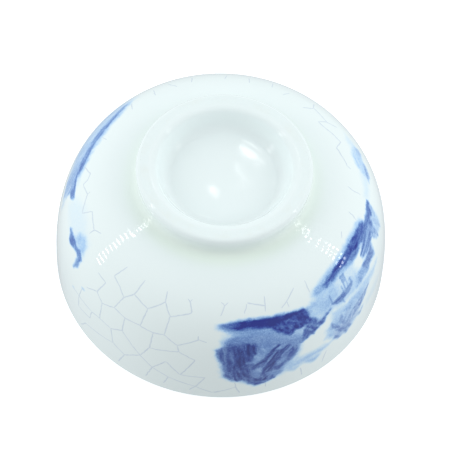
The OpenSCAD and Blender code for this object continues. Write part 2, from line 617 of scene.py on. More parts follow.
MOUNTAIN = [(0.6, 32), (3.5, 30), (8, 29.5), (14, 30), (15, 33), (13, 36), (14, 40), (20, 34), (24, 33),
            (29, 34.5), (30.3, 36.8), (29.3, 40), (25, 44.3), (23.4, 46), (21.3, 50), (17.5, 52.6),
            (14, 53.4), (11.4, 50.5), (9.6, 49), (6.8, 49), (3.4, 46.3), (3, 43), (2.3, 38), (1, 35)]


def paint_shore(ch):
    """Front: a pale wash under everything, the mist, and the dark shore at the mountain's foot."""
    ch.patch([(3, 26), (12, 24.5), (24, 25), (34, 24), (46, 22.5), (58, 21), (62, 26), (60, 32), (44, 30),
        (38, 33), (31, 36), (29, 43), (24, 50), (14, 53), (5, 48), (1.5, 37)], (3.4, 1.0), 0.2, 0.1,
        (0.3, None, 1, 3))
    ch.patch(MOUNTAIN, (4.0, 0.9), 0.34, 0.15, (0.2, None, 1, 2))
    # mist between the shore and the mountain
    ch.patch([(2.5, 28), (7, 25.8), (14, 25.2), (20, 26.2), (25, 29), (31, 31.5), (27, 35), (18, 35),
        (12, 34), (5, 33)], (3.0, 0.8), 0.45, 0.3, (0.2, 14, 6, 1.6))
    ch.patch([(3.6, 28.7), (10, 28), (18, 29.3), (16, 32), (8, 32), (4, 31)], (2.4, 0.5), 0.52, 0.35,
        (0.25, 80, 5, 1.0))
    ch.stroke([(14, 27.2, 0.5), (20, 28.4), (26, 31), (30, 33, 0.5)], (0.8, 2.0, 0.3), 0.4, 0.4,
        (0.2, 25, 6, 0.8))
    # the shore, whose dark edge is the one nearest the foot
    shore = [(0.5, 22.3), (4, 21.5), (8, 20.8), (12, 20.4), (16, 21.0), (20, 21.1), (24, 21.4), (28, 21.8),
        (31, 22.1), (34, 22.5), (34.5, 23.2)]
    ch.band([(p[0], p[1] - 0.7) for p in shore], [(0.5, 23), (4, 24.4), (8, 26.2), (12, 26.4), (16, 26.2),
        (20, 26.8), (24, 27.5), (34.5, 27.5)], (1.5, 3.0, 3.5, 0.5), 0.47, 0.05, (0.2, 4, 5, 1))
    ch.band(shore[1:], [(4, 22.9), (8, 23.6), (12, 23.3), (16, 23.9), (20, 24.6), (25, 25.2), (34.5, 25.5)],
        (0.8, 1.8, 11.0, 0.5), 0.86, 0.05, (0.3, 4, 3, 0.7))
    ch.band([(7, 21.1), (12, 20.8), (20, 21.5), (30, 22.3)], [(7, 22.9), (12, 22.9), (20, 23.4), (30, 23.6)],
        (0.9, 1.2, 5.0, 0.5), 0.94, 0.0, (0.2, 4, 2, 0.7))
    ch.band([(19, 21.3), (26, 21.8), (34, 22.6)], [(19, 24.4), (26, 25.4), (34, 25.4)], (1.0, 1.8, 4.0, 0.5),
        0.99, 0.25, (0.2, 30, 1.6, 0.7))
    ch.patch([(20.5, 24.5), (28, 23.5), (34, 23.5), (35, 26), (37.3, 28.3), (37.8, 30), (35, 31), (33.5, 29),
        (29, 29), (27.5, 30.3), (25, 29.2), (22.5, 27.3)], (1.5, 1.2), 0.8, 0.2, (0.3, 50, 1.4, 0.7))
    for a, s, w, d in ((24, 24.2, 0.9, 0.95), (32.3, 25.3, 1.5, 0.95), (30.2, 27.9, 1.1, 0.93),
            (28, 25.5, 0.8, 0.86), (34.8, 27.6, 0.8, 0.84), (26.8, 28.8, 0.7, 0.8), (33.6, 30.3, 0.7, 0.8)):
        ch.stroke([(a - 0.8, s - 0.3, 0.6), (a + 0.8, s + 0.3, 0.8)], (w, 1.6, 0.9), d, 0.2,
            (0.3, 55, 1.4, 0.6))
    # the light gap and the end of the shore
    ch.patch([(32, 30), (36, 29), (38, 30.5), (41, 30), (44, 28.5), (44.6, 28.8), (42, 30.8), (40.5, 32.8),
        (36, 33.8), (31, 36), (29.5, 35.8), (31.5, 33)], (1.5, 0.9), 0.67, 0.3, (0.4, 55, 2, 0.7))
    ch.patch([(38, 31.4), (40.2, 30.4), (41.3, 31.4), (39.8, 32.6), (38.4, 32.5)], (1.2, 0.5), 0.72, 0.3,
        (0.3, 30, 2, 0.8))
    ch.stroke([(32.5, 31, 0.5), (35, 34), (36, 35, 0.4)], (0.5, 1.0, 0.3), 0.68, 0.5)
    ch.stroke([(29, 30.5, 0.6), (30.6, 30), (32.2, 29.9, 0.5)], (0.7, 1.5, 0.3), 0.3, 0.1)
    ch.stroke([(21, 27.5, 0.3), (24.5, 30.2), (28, 32.3), (31, 33.5, 0.4)], (0.7, 1.6, 0.3), 0.4, 0.3)


def paint_mountain(ch):
    """Front: the mountain, whose peak is nearest the lip."""
    ch.patch(MOUNTAIN, (2.0, 0.9), 0.66, 0.7, (0.3, 82, 7, 0.8))
    ch.patch([(5.8, 31), (10, 30.4), (14.2, 31), (14.4, 34), (13, 36.5), (12, 39), (9, 40), (7, 38),
        (6.2, 34)], (2.0, 0.8), 0.8, 0.6, (0.35, 82, 6, 0.8))
    for a, s0, s1, w, d in ((4.4, 31, 46, 0.6, 0.78), (6.4, 30.5, 49, 0.7, 0.86), (8.4, 31, 47, 0.6, 0.8),
            (11.6, 30.5, 38, 1.3, 0.86), (10.4, 38, 47, 0.8, 0.8), (2.4, 33, 40, 0.5, 0.74),
            (7.2, 43, 49, 0.9, 0.82), (12.8, 31, 34.5, 1.0, 0.86), (9.6, 33, 42, 0.5, 0.84)):
        ch.stroke([(a, s0, 0.5), (a + 0.4, (s0 + s1) / 2), (a + 1.3, s1, 0.5)], (w, 1.3, 0.8), d, 0.7,
            (0.3, 80, 5, 0.7))
    for a, s0, s1 in ((5.4, 33, 40), (3.4, 36, 45), (9.3, 43, 48), (5.2, 43.5, 47)):
        ch.stroke([(a, s0, 0.4), (a + 0.5, (s0 + s1) / 2), (a + 1.2, s1, 0.4)], (0.35, 0.9, 0.6), 0.56, 0.5)
    # a light lobe and the light sweep to its right
    ch.patch([(14.5, 32.8), (18.5, 33), (17.5, 36), (14.5, 39.0), (12.4, 38.6), (13.5, 36.5), (14.8, 34.5)],
        (1.6, 0.5), 0.45, 0.3, (0.2, 60, 5, 1))
    ch.stroke([(11, 39.2, 0.4), (14, 39), (17, 37), (20, 34.4), (23, 33), (28, 33.6), (31, 33.8, 0.5)],
        (0.7, 1.6, 0.3), 0.46, 0.35, (0.2, 30, 5, 1))
    ch.patch([(18.6, 30.5), (24, 31.5), (29, 33.5), (32, 35), (30, 36), (25, 34.5), (20, 33)], (2.0, 0.5),
        0.45, 0.5, (0.2, 20, 5, 1))
    # dark bands
    ch.stroke([(10, 40.7, 0.8), (14.5, 41.2), (17.5, 38.6), (20, 35.4), (22.6, 33, 0.4)], (0.9, 1.3, 0.6),
        0.76, 0.8, (0.3, -35, 4, 0.7))
    ch.stroke([(16.7, 50, 0.8), (17.5, 46), (19.5, 41.3, 1.3), (22, 37.4, 1.1), (26, 35, 0.5)],
        (1.4, 1.5, 0.7), 0.8, 0.8, (0.3, -55, 4, 0.7))
    ch.stroke([(9.5, 42, 0.8), (10.5, 45.5), (13, 49), (15.5, 51.2), (17, 47.5, 0.6)], (0.8, 1.3, 0.6), 0.78,
        0.75, (0.3, 60, 4, 0.7))
    # light wedges
    ch.patch([(12.5, 43.5), (15.5, 42.5), (17, 43), (16.1, 47), (15.2, 49.3), (13.6, 48)], (1.5, 0.5), 0.5,
        0.45, (0.3, 75, 4, 0.7))
    ch.stroke([(21.5, 34.8, 0.5), (22.6, 34.6), (24, 34.9, 0.3)], (0.6, 1.2, 0.3), 0.36, 0.3)
    ch.stroke([(16.8, 42.5, 0.5), (18.6, 39.5), (21, 36, 0.4)], (0.45, 1.0, 0.3), 0.48, 0.5)
    ch.patch([(21.5, 40.5), (24.5, 39.5), (25, 42), (22.5, 44.3), (21, 43.8)], (1.6, 0.5), 0.5, 0.4,
        (0.3, -50, 4, 0.7))
    ch.stroke([(23.3, 39, 0.6), (26, 36.6), (29, 34.8, 0.4)], (0.5, 1.2, 0.3), 0.46, 0.4)
    # lobes on the right, the peak, and the soft end of the wash
    ch.patch([(25.4, 38.8), (27.5, 37.6), (29, 38.2), (28.7, 40.1), (26.5, 41), (25.2, 40.4)], (1.2, 0.6),
        0.68, 0.55, (0.3, -50, 3, 0.7))
    ch.stroke([(20.5, 44.6, 0.7), (22.5, 45.2), (24.2, 43.2, 0.7)], (0.7, 1.3, 0.3), 0.72, 0.65)
    ch.patch([(11.2, 50), (14, 51), (17.5, 51.5), (21, 50), (20.7, 51.2), (17.5, 52.5), (14, 53.3),
        (12, 52)], (1.3, 0.7), 0.66, 0.35, (0.3, 20, 3, 0.8))
    ch.patch([(18, 46.8), (22, 46.8), (24.5, 45.8), (24, 48.5), (21, 49.8), (18.8, 49.3)], (2.2, 0.8), 0.46,
        0.3, (0.25, 10, 4, 1))
    ch.patch([(25, 44), (32, 44.5), (40, 45), (43, 46), (38, 48), (30, 48.5), (24.5, 49)], (3.6, 1.0), 0.25,
        0.05, (0.25, None, 1, 3))
    ch.stroke([(26, 48.9, 0.8), (28, 50.2, 1.0), (29.5, 49.3, 0.7)], (0.8, 2.4, 0.3), 0.24, 0.1)
    ch.stroke([(33.5, 48.9, 0.8), (35.5, 50.2, 1.1), (37, 49.1, 0.7)], (1.0, 2.4, 0.3), 0.3, 0.05)


def paint_bank(ch):
    """Middle right: the water by the pavilion, the dark bank at its foot and the slopes behind."""
    ch.patch([(35, 22.5), (44, 20.5), (50, 20), (48, 25.5), (44, 28), (36.5, 28)], (3.0, 0.8), 0.3, 0.05,
        (0.25, 5, 5, 2))
    ch.patch([(50, 20), (58, 19.8), (62, 21), (60, 24.5), (50, 25.5)], (2.6, 0.8), 0.13, 0.1)
    bank = [(39, 19.8), (42, 19.1), (46, 18.2), (50, 17.4), (56, 16.9), (62, 16.5), (66, 16.3), (71, 16.5),
        (76, 16.9), (78.3, 17.5)]
    ch.band([(p[0], p[1] - 1.3) for p in bank], [(39, 21), (46, 21), (54, 20.8), (62, 21.5), (78.3, 20.5)],
        (2.4, 1.8, 4, 0.5), 0.36, 0.0, (0.2, -3, 5, 1))
    ch.band([(45, 18.6)] + bank[3:], [(45, 20.2), (50, 19.9), (56, 19.5), (60, 19.4), (64, 20.2), (70, 20.2),
        (76, 19.8), (78.3, 18.9)], (0.9, 1.3, 4.0, 0.6), 0.78, 0.2, (0.35, -3, 3, 0.7))
    ch.band([(60, 16.9), (66, 16.6), (72, 17.2), (77, 17.6)], [(60, 18.4), (66, 18.4), (72, 19), (77, 18.9)],
        (0.9, 1.2, 4.0, 0.6), 0.76, 0.25, (0.3, -3, 3, 0.7))
    ch.patch([(61, 19), (66, 19), (68, 20.6), (64.5, 21.6), (61.5, 20.8)], (1.4, 0.5), 0.62, 0.4,
        (0.3, 20, 3, 0.8))
    ch.patch([(76, 20), (88, 20), (87, 25), (85.5, 29.5), (81, 29), (77, 25.5)], (2.6, 0.5), 0.22, 0.15,
        (0.3, 82, 5, 0.8))
    ch.patch([(70, 19.2), (78, 19.0), (84, 18.5), (89.2, 18.2), (89.4, 19.2), (87.5, 20.8), (84, 22.2),
        (80, 22.6), (75, 22), (71, 21)], (1.2, 0.7), 0.68, 0.4, (0.2, -8, 5, 0.7))
    ch.patch([(66.5, 22.8), (71, 20.6), (79, 20), (82.5, 21.5), (80.5, 24.6), (75, 25), (69, 25.4),
        (66.5, 24.4)], (1.8, 0.7), 0.42, 0.3, (0.4, -12, 5, 0.6))
    for pts, w, d in (
        ([(66.5, 23.2, 0.5), (71, 21.8), (78.5, 19.6, 0.6)], 0.5, 0.66),
        ([(67.5, 24.2, 0.4), (74, 22.9), (81, 20.6, 0.6)], 0.45, 0.58),
        ([(69, 22.4, 0.4), (74, 20.8), (79, 19, 0.6)], 0.4, 0.64),
        ([(70, 25, 0.5), (75, 24), (82, 22, 0.8)], 0.6, 0.56),
        ([(76, 24, 0.6), (78, 23.6), (80.5, 22.4)], 1.1, 0.68),
        ([(78.6, 22, 1), (80, 26), (80.6, 29.3, 0.3)], 1.0, 0.42),
        ([(83, 22, 1), (84, 26), (85, 30, 0.3)], 0.8, 0.3),
        ([(77, 24), (78.3, 27, 0.6), (79, 28.5, 0.3)], 0.6, 0.38),
        ([(87.5, 20.5), (86, 23.5, 0.6)], 0.8, 0.38),
    ):
        ch.stroke(pts, (w, 1.2, 0.4), d, 0.4, (0.3, -12, 4, 0.7))
    # rocks above the slopes
    ch.patch([(60, 26.5), (65, 25.9), (70, 25.7), (74.2, 24.6), (74.3, 28), (73.6, 30.4), (70, 30),
        (66, 31.8), (62, 31.5), (58.5, 31)], (2.0, 0.8), 0.36, 0.2, (0.35, 60, 4, 0.9))
    ch.patch([(64.5, 26.3), (70, 25.9), (73.8, 25.2), (73.6, 29), (72, 30), (70, 29.3), (67, 29.4),
        (65, 28)], (1.2, 0.7), 0.55, 0.55, (0.22, 60, 2, 0.8))


def paint_pavilion(ch):
    """The roof with its finial, a screen and the posts."""
    roof = [(45.1, 27.4), (47.5, 27.0), (51.5, 26.6), (54, 26.6), (56.8, 26.0), (57.3, 26.6), (56.2, 28),
        (54.4, 29.0), (50.4, 29.5), (47.8, 29.2), (45.8, 28.3)]
    ch.patch(roof, (0.7, 0.15), 0.5, 0.5, (0.2, 0, 3, 0.8))
    ch.patch([(45.3, 27.5), (48, 27.1), (52, 26.9), (52.5, 28.6), (50, 29.2), (47.5, 28.9)], (0.8, 0.15),
        0.6, 0.45, (0.2, 0, 3, 0.8))
    ch.stroke([(45.2, 27.5, 0.5), (48, 28.9), (50.3, 29.7), (51.1, 31.4, 0.4)], (0.32, 0.6, 0.1), 0.52, 0.4)
    ch.patch([(52.6, 21), (54.6, 20.8), (54.9, 23.6), (52.7, 24.2)], (0.8, 0.15), 0.36, 0.3)
    for pts, w, d in (
        ([(45.3, 23.8), (45.5, 27.4)], 0.2, 0.52), ([(48.4, 22.6), (48.4, 26.8)], 0.14, 0.34),
        ([(51.6, 24.2), (51.7, 26.8)], 0.2, 0.46), ([(53, 20.9), (53, 26.6)], 0.22, 0.48),
        ([(54.7, 20.9), (54.5, 26.4)], 0.18, 0.42), ([(52.6, 21.4), (55, 21.2)], 0.22, 0.5),
        ([(52.7, 23), (54.8, 22.7)], 0.16, 0.4), ([(56.4, 24.4), (56.7, 26.4)], 0.28, 0.48),
        ([(55.8, 24.8), (57, 24.4)], 0.18, 0.4),
    ):
        ch.stroke(pts, (w, 0.6, 0.08), d, 0.3)


def paint_far_rocks(ch):
    """Right, above the pavilion: pale rocks."""
    ch.patch([(44, 30.5), (52, 32), (60, 32.3), (68, 32.6), (74, 34), (70, 36.5), (62, 37), (44, 36)],
        (3.0, 0.8), 0.19, 0.05, (0.3, 10, 5, 1.5))
    ch.patch([(41, 38), (45, 34.8), (50, 34.2), (56, 33), (63, 33), (65, 35), (62, 38), (58, 42), (55, 46),
        (50, 47.5), (45, 46), (41, 42)], (3.2, 1.0), 0.31, 0.1, (0.35, 50, 5, 1.4))
    ch.patch([(44.5, 41), (48, 40.5), (52, 42), (53, 45), (51, 48), (47.5, 46.5), (44.5, 45)], (2.4, 0.5),
        0.35, 0.6, (0.4, 60, 4, 0.8))
    ch.patch([(51, 42.5), (54, 39.5), (60, 37.2), (65, 36.5), (62, 39.5), (57.5, 42), (53, 44.5)],
        (2.0, 0.5), 0.36, 0.6, (0.5, -62, 3, 0.6))
    for pts, w, d in (
        ([(43.3, 36.3, 0.5), (45.5, 39.6), (48.5, 43), (50.4, 47.8, 0.6)], 0.6, 0.56),
        ([(48.2, 35.6, 0.5), (47.8, 38), (49.4, 41.5), (50.6, 45)], 0.55, 0.5),
        ([(50.3, 42.4), (54, 38.8), (58.5, 38), (64.5, 37, 0.4)], 0.65, 0.46),
        ([(51.5, 44), (55.5, 41.3), (60, 39.6), (62.5, 39, 0.3)], 0.65, 0.46),
        ([(45, 45), (46.8, 46.9, 0.7)], 0.8, 0.5), ([(51.5, 44.5), (52.4, 46.4, 0.6)], 0.7, 0.46),
        ([(54.5, 43.5), (58, 45), (59.5, 44, 0.6)], 1.1, 0.3), ([(46, 41), (48, 44)], 1.0, 0.5),
        ([(49.5, 40), (51, 37.6), (53.5, 35.6, 0.5)], 0.5, 0.44),
    ):
        ch.stroke(pts, (w, 1.7, 0.7), d, 0.65, (0.35, 50, 4, 0.7))
    ch.patch([(62, 43), (70, 42), (75, 44), (70, 47), (63, 46.5)], (3.5, 0.5), 0.07, 0.3)


def paint_islet(ch):
    """Far right: a low islet and its pale reach of water."""
    ch.patch([(90, 17.5), (100, 16.8), (118, 16.5), (122, 18), (118, 20), (98, 20.3), (90, 19.6)],
        (3.0, 0.8), 0.09, 0.0)
    ch.patch([(101, 18.5), (105, 16), (110, 15.2), (114, 16.5), (115.5, 18.5), (114, 20.5), (103, 20.5)],
        (2.4, 0.8), 0.23, 0.05, (0.3, -8, 5, 1))
    ch.patch([(98.3, 20.6), (101, 19.6), (106, 19.6), (107.5, 20.6), (105, 21.8), (101, 22)], (1.5, 0.6),
        0.36, 0.5, (0.3, -5, 4, 0.8))
    ch.patch([(110.5, 19.8), (112, 18.8), (115, 19), (114.5, 20.8), (112, 21.6)], (1.4, 0.6), 0.3, 0.4)


def paint_left(ch):
    """Left: two low ridges, the small boat and the pale water that leads to it."""
    ch.band([(-137, 17.2), (-131, 15.7), (-124, 14.5), (-112, 15), (-100, 16.6), (-92, 19)], [(-137, 23),
        (-131, 26), (-124, 27.5), (-112, 28), (-100, 28), (-92, 28)], (2.4, 5.0, 10, 0.8), 0.25, 0.15,
        (0.3, 45, 6, 1.5))
    ch.patch([(-110, 20.5), (-104, 20.8), (-96, 21.5), (-88.8, 23), (-88.6, 29), (-90, 31.5), (-94, 30),
        (-101, 26.5), (-107, 23.5)], (2.4, 0.9), 0.3, 0.3, (0.4, 50, 6, 1))
    ch.patch([(-99, 20.5), (-90, 22), (-88.6, 25), (-89.5, 29), (-93, 27.5), (-98, 24)], (2.6, 0.9), 0.36,
        0.4, (0.4, 60, 5, 0.9))
    ch.stroke([(-88, 30), (-87.4, 33, 0.5)], (1.2, 2.4, 0.3), 0.14, 0.5)
    ch.band([(-134, 17.2), (-129, 16.5), (-124, 16), (-116, 16), (-108, 16.9), (-102, 17.5), (-97, 18.6),
        (-95.4, 19.3)], [(-134, 18.2), (-129, 18.2), (-124, 18.2), (-116, 18.7), (-108, 19.4), (-102, 20.4),
        (-97, 21), (-95.4, 20.8)], (1.2, 1.8, 7, 0.6), 0.5, 0.25, (0.3, 8, 6, 0.8))
    ch.band([(-109, 17.1), (-100, 18), (-95.4, 19.2)], [(-109, 18.4), (-100, 19.7), (-95.4, 20.9)],
        (1.0, 1.3, 5, 0.5), 0.64, 0.35, (0.3, 10, 5, 0.8))
    ch.patch([(-100, 20.6), (-95, 20.6), (-90, 20.9), (-85, 21.2), (-84.1, 22.2), (-86.5, 23.8), (-90, 24.2),
        (-96, 23.2)], (1.2, 0.6), 0.46, 0.3, (0.3, 20, 5, 0.8))
    ch.patch([(-90, 22), (-86, 21.7), (-84.4, 22.1), (-86.4, 23.8), (-88.8, 24.2)], (1.1, 0.5), 0.58, 0.3)
    ch.stroke([(-96, 21, 0.6), (-90, 21.3), (-85.2, 21.6, 0.6)], (0.4, 0.9, 0.3), 0.64, 0.3)
    # the pale water, then the boat
    ch.patch([(-84, 20), (-78, 17), (-70, 17.5), (-62, 20), (-60, 26), (-66, 27), (-76, 26), (-84, 25)],
        (5.0, 0.8), 0.06, 0.0)
    ch.patch([(-69.5, 24.5), (-68.5, 21.5), (-65, 20.2), (-62, 21.5), (-61, 24.5), (-64, 26)], (2.6, 0.6),
        0.28, 0.0, (0.2, None, 1, 2))
    ch.patch([(-74.6, 26.4), (-73.3, 25), (-71, 25.2), (-68, 24.9), (-66, 25.8), (-63.4, 24.9),
        (-60.2, 26.7), (-61.5, 27.8), (-65, 27.3), (-67.2, 27.8), (-69.4, 29.3), (-71.6, 28.8),
        (-73.2, 27.2)], (1.2, 0.6), 0.56, 0.2, (0.3, 20, 3, 0.8))
    ch.patch([(-70.6, 26.4), (-68, 26), (-67.4, 27.2), (-69.4, 28.4), (-71, 28)], (1.2, 0.5), 0.68, 0.25)
    ch.stroke([(-63.4, 26, 0.8), (-61.8, 28, 1.0), (-61.8, 30.2, 1.1), (-62.8, 33.2, 0.3)], (1.0, 1.6, 0.3),
        0.52, 0.2, (0.25, 80, 3, 0.8))
    ch.stroke([(-66, 26.2, 0.8), (-63, 25.9), (-61.2, 26.8, 0.8)], (0.7, 1.0, 0.3), 0.56, 0.15)
    ch.stroke([(-55, 35.6), (-54, 35.3)], (0.45, 1.0, 0.3), 0.22, 0.3)
    ch.stroke([(-60.2, 41.5), (-59.6, 41.3)], (0.4, 1.0, 0.3), 0.16, 0.3)


def paint_far_side(ch):
    """Hidden in the photograph: a low range that the left and right ends lead into."""
    far = [(147, 28.5), (153, 26.6), (160, 25.2), (167, 25.8), (174, 24.8), (182, 25.8), (190, 26.8),
        (197, 28.2)]
    ch.band([(p[0], p[1] - 0.8) for p in far], [(147, 31), (160, 35), (174, 37), (190, 34), (197, 31)],
        (1.8, 5.0, 6, 0.8), 0.32, 0.1, (0.3, 60, 5, 1.4))
    ch.band(far, [(147, 29.6), (160, 28.2), (174, 28.2), (186, 29), (197, 29.2)], (0.9, 1.8, 5, 0.6), 0.8,
        0.05, (0.25, 3, 4, 0.8))
    slope = [(156, 33), (163, 31.6), (171, 32.5), (178, 35), (176, 41), (168, 45), (160, 43), (155, 38)]
    ch.patch(slope, (3.6, 0.9), 0.34, 0.15)
    ch.patch(slope, (2.0, 0.9), 0.56, 0.6, (0.35, 75, 6, 0.8))
    ch.stroke([(160, 34, 0.6), (162.5, 39), (166, 43.5, 0.5)], (0.8, 1.4, 0.8), 0.76, 0.7, (0.3, 75, 5, 0.8))
    ch.stroke([(168, 33.5, 0.6), (170, 38), (173, 41.5, 0.5)], (0.9, 1.4, 0.8), 0.74, 0.7, (0.3, 75, 5, 0.8))
    ch.patch([(178, 36), (188, 34.5), (197, 37), (190, 41), (180, 41)], (3.6, 0.5), 0.2, 0.1)


def paint(ch):
    """The whole painting, in the order in which its washes are laid."""
    paint_shore(ch)
    paint_mountain(ch)
    ch.ink *= FRONT_DEPTH
    paint_bank(ch)
    paint_pavilion(ch)
    paint_far_rocks(ch)
    paint_islet(ch)
    paint_left(ch)
    paint_far_side(ch)
    return ch


# ---------------- materials of the bowl

WHITE = srgb(236, 246, 246)


def ink_colours(*stops):
    """Colours from bare body to the densest ink, from densities and 0 to 255 values."""
    return ((0.0, WHITE),) + tuple((density, srgb(*rgb)) for density, *rgb in stops)


COBALT = ink_colours((0.1, 216, 236, 248), (0.25, 178, 212, 245), (0.4, 142, 180, 228),
                     (0.55, 104, 144, 206), (0.7, 72, 108, 184), (0.85, 38, 68, 164), (1.0, 14, 30, 136))
VIOLET = ink_colours((0.1, 218, 234, 243), (0.25, 188, 208, 234), (0.4, 147, 175, 218),
                     (0.55, 111, 140, 196), (0.7, 80, 108, 173), (0.85, 48, 74, 150), (1.0, 25, 44, 118))
GLAZE_IOR = 1.5


def glaze(name, painted=False, ripple=0.05):
    """Clear glaze over white body, with the blue painting under it where there is any, and a greener glaze
    pool with painted shade at the foot.
    """
    m, t, shader = new_material(name)
    colour = WHITE
    if painted:
        ink = attribute(t, "ink")
        fine = maths(t, "SUBTRACT", mottle(t, 2000, 3, 0.7), 0.5)
        scope = maths(t, "MULTIPLY", ink, maths(t, "SUBTRACT", 1.25, ink))
        change = maths(t, "MULTIPLY", fine, maths(t, "MULTIPLY", scope, 1.5))
        amount = maths(t, "ADD", ink, change, clamp=True)
        blue, violet = ramp(t, COBALT), ramp(t, VIOLET)
        t.links.new(amount, blue.inputs[0])
        t.links.new(amount, violet.inputs[0])
        colour = mix_colour(t, attribute(t, "tone"), blue.outputs[0], violet.outputs[0])
    # greener tint where the glaze pools at the foot, which is also painted shade there, deepest on the side
    # towards the camera
    colour = mix_colour(t, attribute(t, "glaze_pool_and_painted_shade"), colour, srgb(240, 246, 222), "MULTIPLY")
    cloud = maths(t, "MULTIPLY", mottle(t, 38, 2), 0.05)
    colour = mix_colour(t, cloud, colour, srgb(214, 230, 234))
    t.links.new(colour, shader.inputs["Base Color"])
    rough = maths(t, "ADD", maths(t, "MULTIPLY", mottle(t, 160, 3), 0.04), 0.02)
    t.links.new(rough, shader.inputs["Roughness"])
    shader.inputs["IOR"].default_value = GLAZE_IOR
    height = maths(t, "ADD", mottle(t, 70, 2), maths(t, "MULTIPLY", mottle(t, 420, 2), 0.12))
    uneven(t, shader, height, ripple, 0.001)
    return m


def biscuit():
    """Unglazed fired clay, seen on the land that the bowl rests on."""
    m, t, shader = new_material("fired_clay")
    colour = mix_colour(t, mottle(t, 900, 4, 0.7), srgb(235, 246, 246), srgb(229, 240, 240))
    stain = maths(t, "MULTIPLY", maths(t, "SUBTRACT", mottle(t, 120, 3), 0.5, clamp=True), 1.2)
    colour = mix_colour(t, stain, colour, srgb(226, 230, 222))
    t.links.new(colour, shader.inputs["Base Color"])
    rough = maths(t, "ADD", maths(t, "MULTIPLY", mottle(t, 1200, 3), 0.25), 0.6)
    t.links.new(rough, shader.inputs["Roughness"])
    uneven(t, shader, mottle(t, 2200, 3), 0.25, 0.0002)
    return m


def line_ink():
    """The fine grey-blue lines of the crackle pattern, under the same glaze."""
    m, t, shader = new_material("line_under_glaze")
    colour = mix_colour(t, mottle(t, 420, 3), srgb(203, 216, 229), srgb(224, 235, 241))
    t.links.new(colour, shader.inputs["Base Color"])
    rough = maths(t, "ADD", maths(t, "MULTIPLY", mottle(t, 160, 3), 0.05), 0.05)
    t.links.new(rough, shader.inputs["Roughness"])
    shader.inputs["IOR"].default_value = GLAZE_IOR
    return m


# ---------------- pieces

def give(obj, name, values):
    """Stores a value at each vertex, for attribute() to read."""
    a = obj.data.attributes.new(name, "FLOAT", "POINT")
    a.data.foreach_set("value", np.asarray(values, np.float32))


def outer_coat(material):
    """The coat outside, with the painting, and the pool of glaze where the wall leaves the foot, tinted as
    painted shade.
    """
    columns, n_edge, n_side, n_lip = 960, 9, 22, 10
    fine_from, fine_to, fine_step = 13, 54, 0.36
    ring_s = np.concatenate([np.linspace(0, fine_from, 16)[:-1], np.arange(fine_from, fine_to, fine_step),
                             np.linspace(fine_to, WALL_LEN, 12)[1:]])
    front = np.concatenate([outside(n_edge, n_side, np.interp(ring_s, wall_s, wall_t))[:-1],
                            lip(0, 90, n_lip)])
    rear = np.concatenate([outside(4, 8, np.linspace(0, 1, 30), COAT)[:-1], lip(0, 90, 5, COAT)])[::-1]
    obj = lathe("outer_glaze_coat", np.concatenate([front, rear]), columns, material)

    # where each vertex is on the wall's chart: below 0 on the foot and on the back of the coat
    n_foot = n_edge + n_side - 2
    all_s = np.concatenate([np.full(n_foot, -5.0), ring_s[:-1], np.full(n_lip, WALL_LEN),
                            np.full(len(rear), -5.0)])
    around = np.arange(columns) * 360 / columns - 180
    chart_s, chart_a = np.repeat(all_s, columns), np.tile(around, len(all_s))
    on = chart_s > 8
    art = paint(Chart(chart_a[on], chart_s[on]))
    for name, values in (("ink", art.ink), ("tone", art.tone)):
        whole = np.zeros(len(chart_s))
        whole[on] = values
        give(obj, name, whole)

    # the pool of glaze, about 3 mm wide, with painted shade under the foot that is deepest on the side
    # towards the camera
    at = lengths(front)
    glaze_pool_and_painted_shade = 0.4 * np.exp(-((at - at[n_foot] + 1.0) / 3.2) ** 2)
    # the painted shade is strongest on the side that faces the camera and weakest at the back
    side = 0.25 + 0.375 * (1 + np.cos(np.radians(around)))
    give(obj, "glaze_pool_and_painted_shade", np.outer(np.concatenate([glaze_pool_and_painted_shade, np.zeros(len(rear))]), side).ravel())
    return obj


def inner_coat(material):
    """The coat inside, from the lip to the middle of the floor."""
    t = np.linspace(1, 0, 60)
    front = np.concatenate([lip(90, 180, 10)[:-1], inside_wall(t), inside_floor(24)[1:]])
    rear = np.concatenate([lip(90, 180, 5, COAT)[:-1], inside_wall(t[::3], COAT),
                           inside_floor(12, COAT)[1:]])
    return lathe("inner_glaze_coat", np.concatenate([front[::-1], rear]), 240, material)


def well_coat(material):
    """The coat inside the foot ring, from the bare land to the middle of the well's floor."""
    front, rear = well(9, 26, 12), well(4, 10, 6, COAT)
    return lathe("well_glaze_coat", np.concatenate([front[::-1], rear]), 240, material)


def along(points, step):
    """Points spaced by step along a polyline, with the direction at each."""
    p = np.array(points, float)
    at = lengths(p)
    n = max(2, int(round(at[-1] / step)) + 1)
    t = np.linspace(0, at[-1], n)
    q = np.stack([np.interp(t, at, p[:, k]) for k in range(p.shape[1])], 1)
    d = np.gradient(q, axis=0)
    return q, d / np.linalg.norm(d, axis=1, keepdims=True)


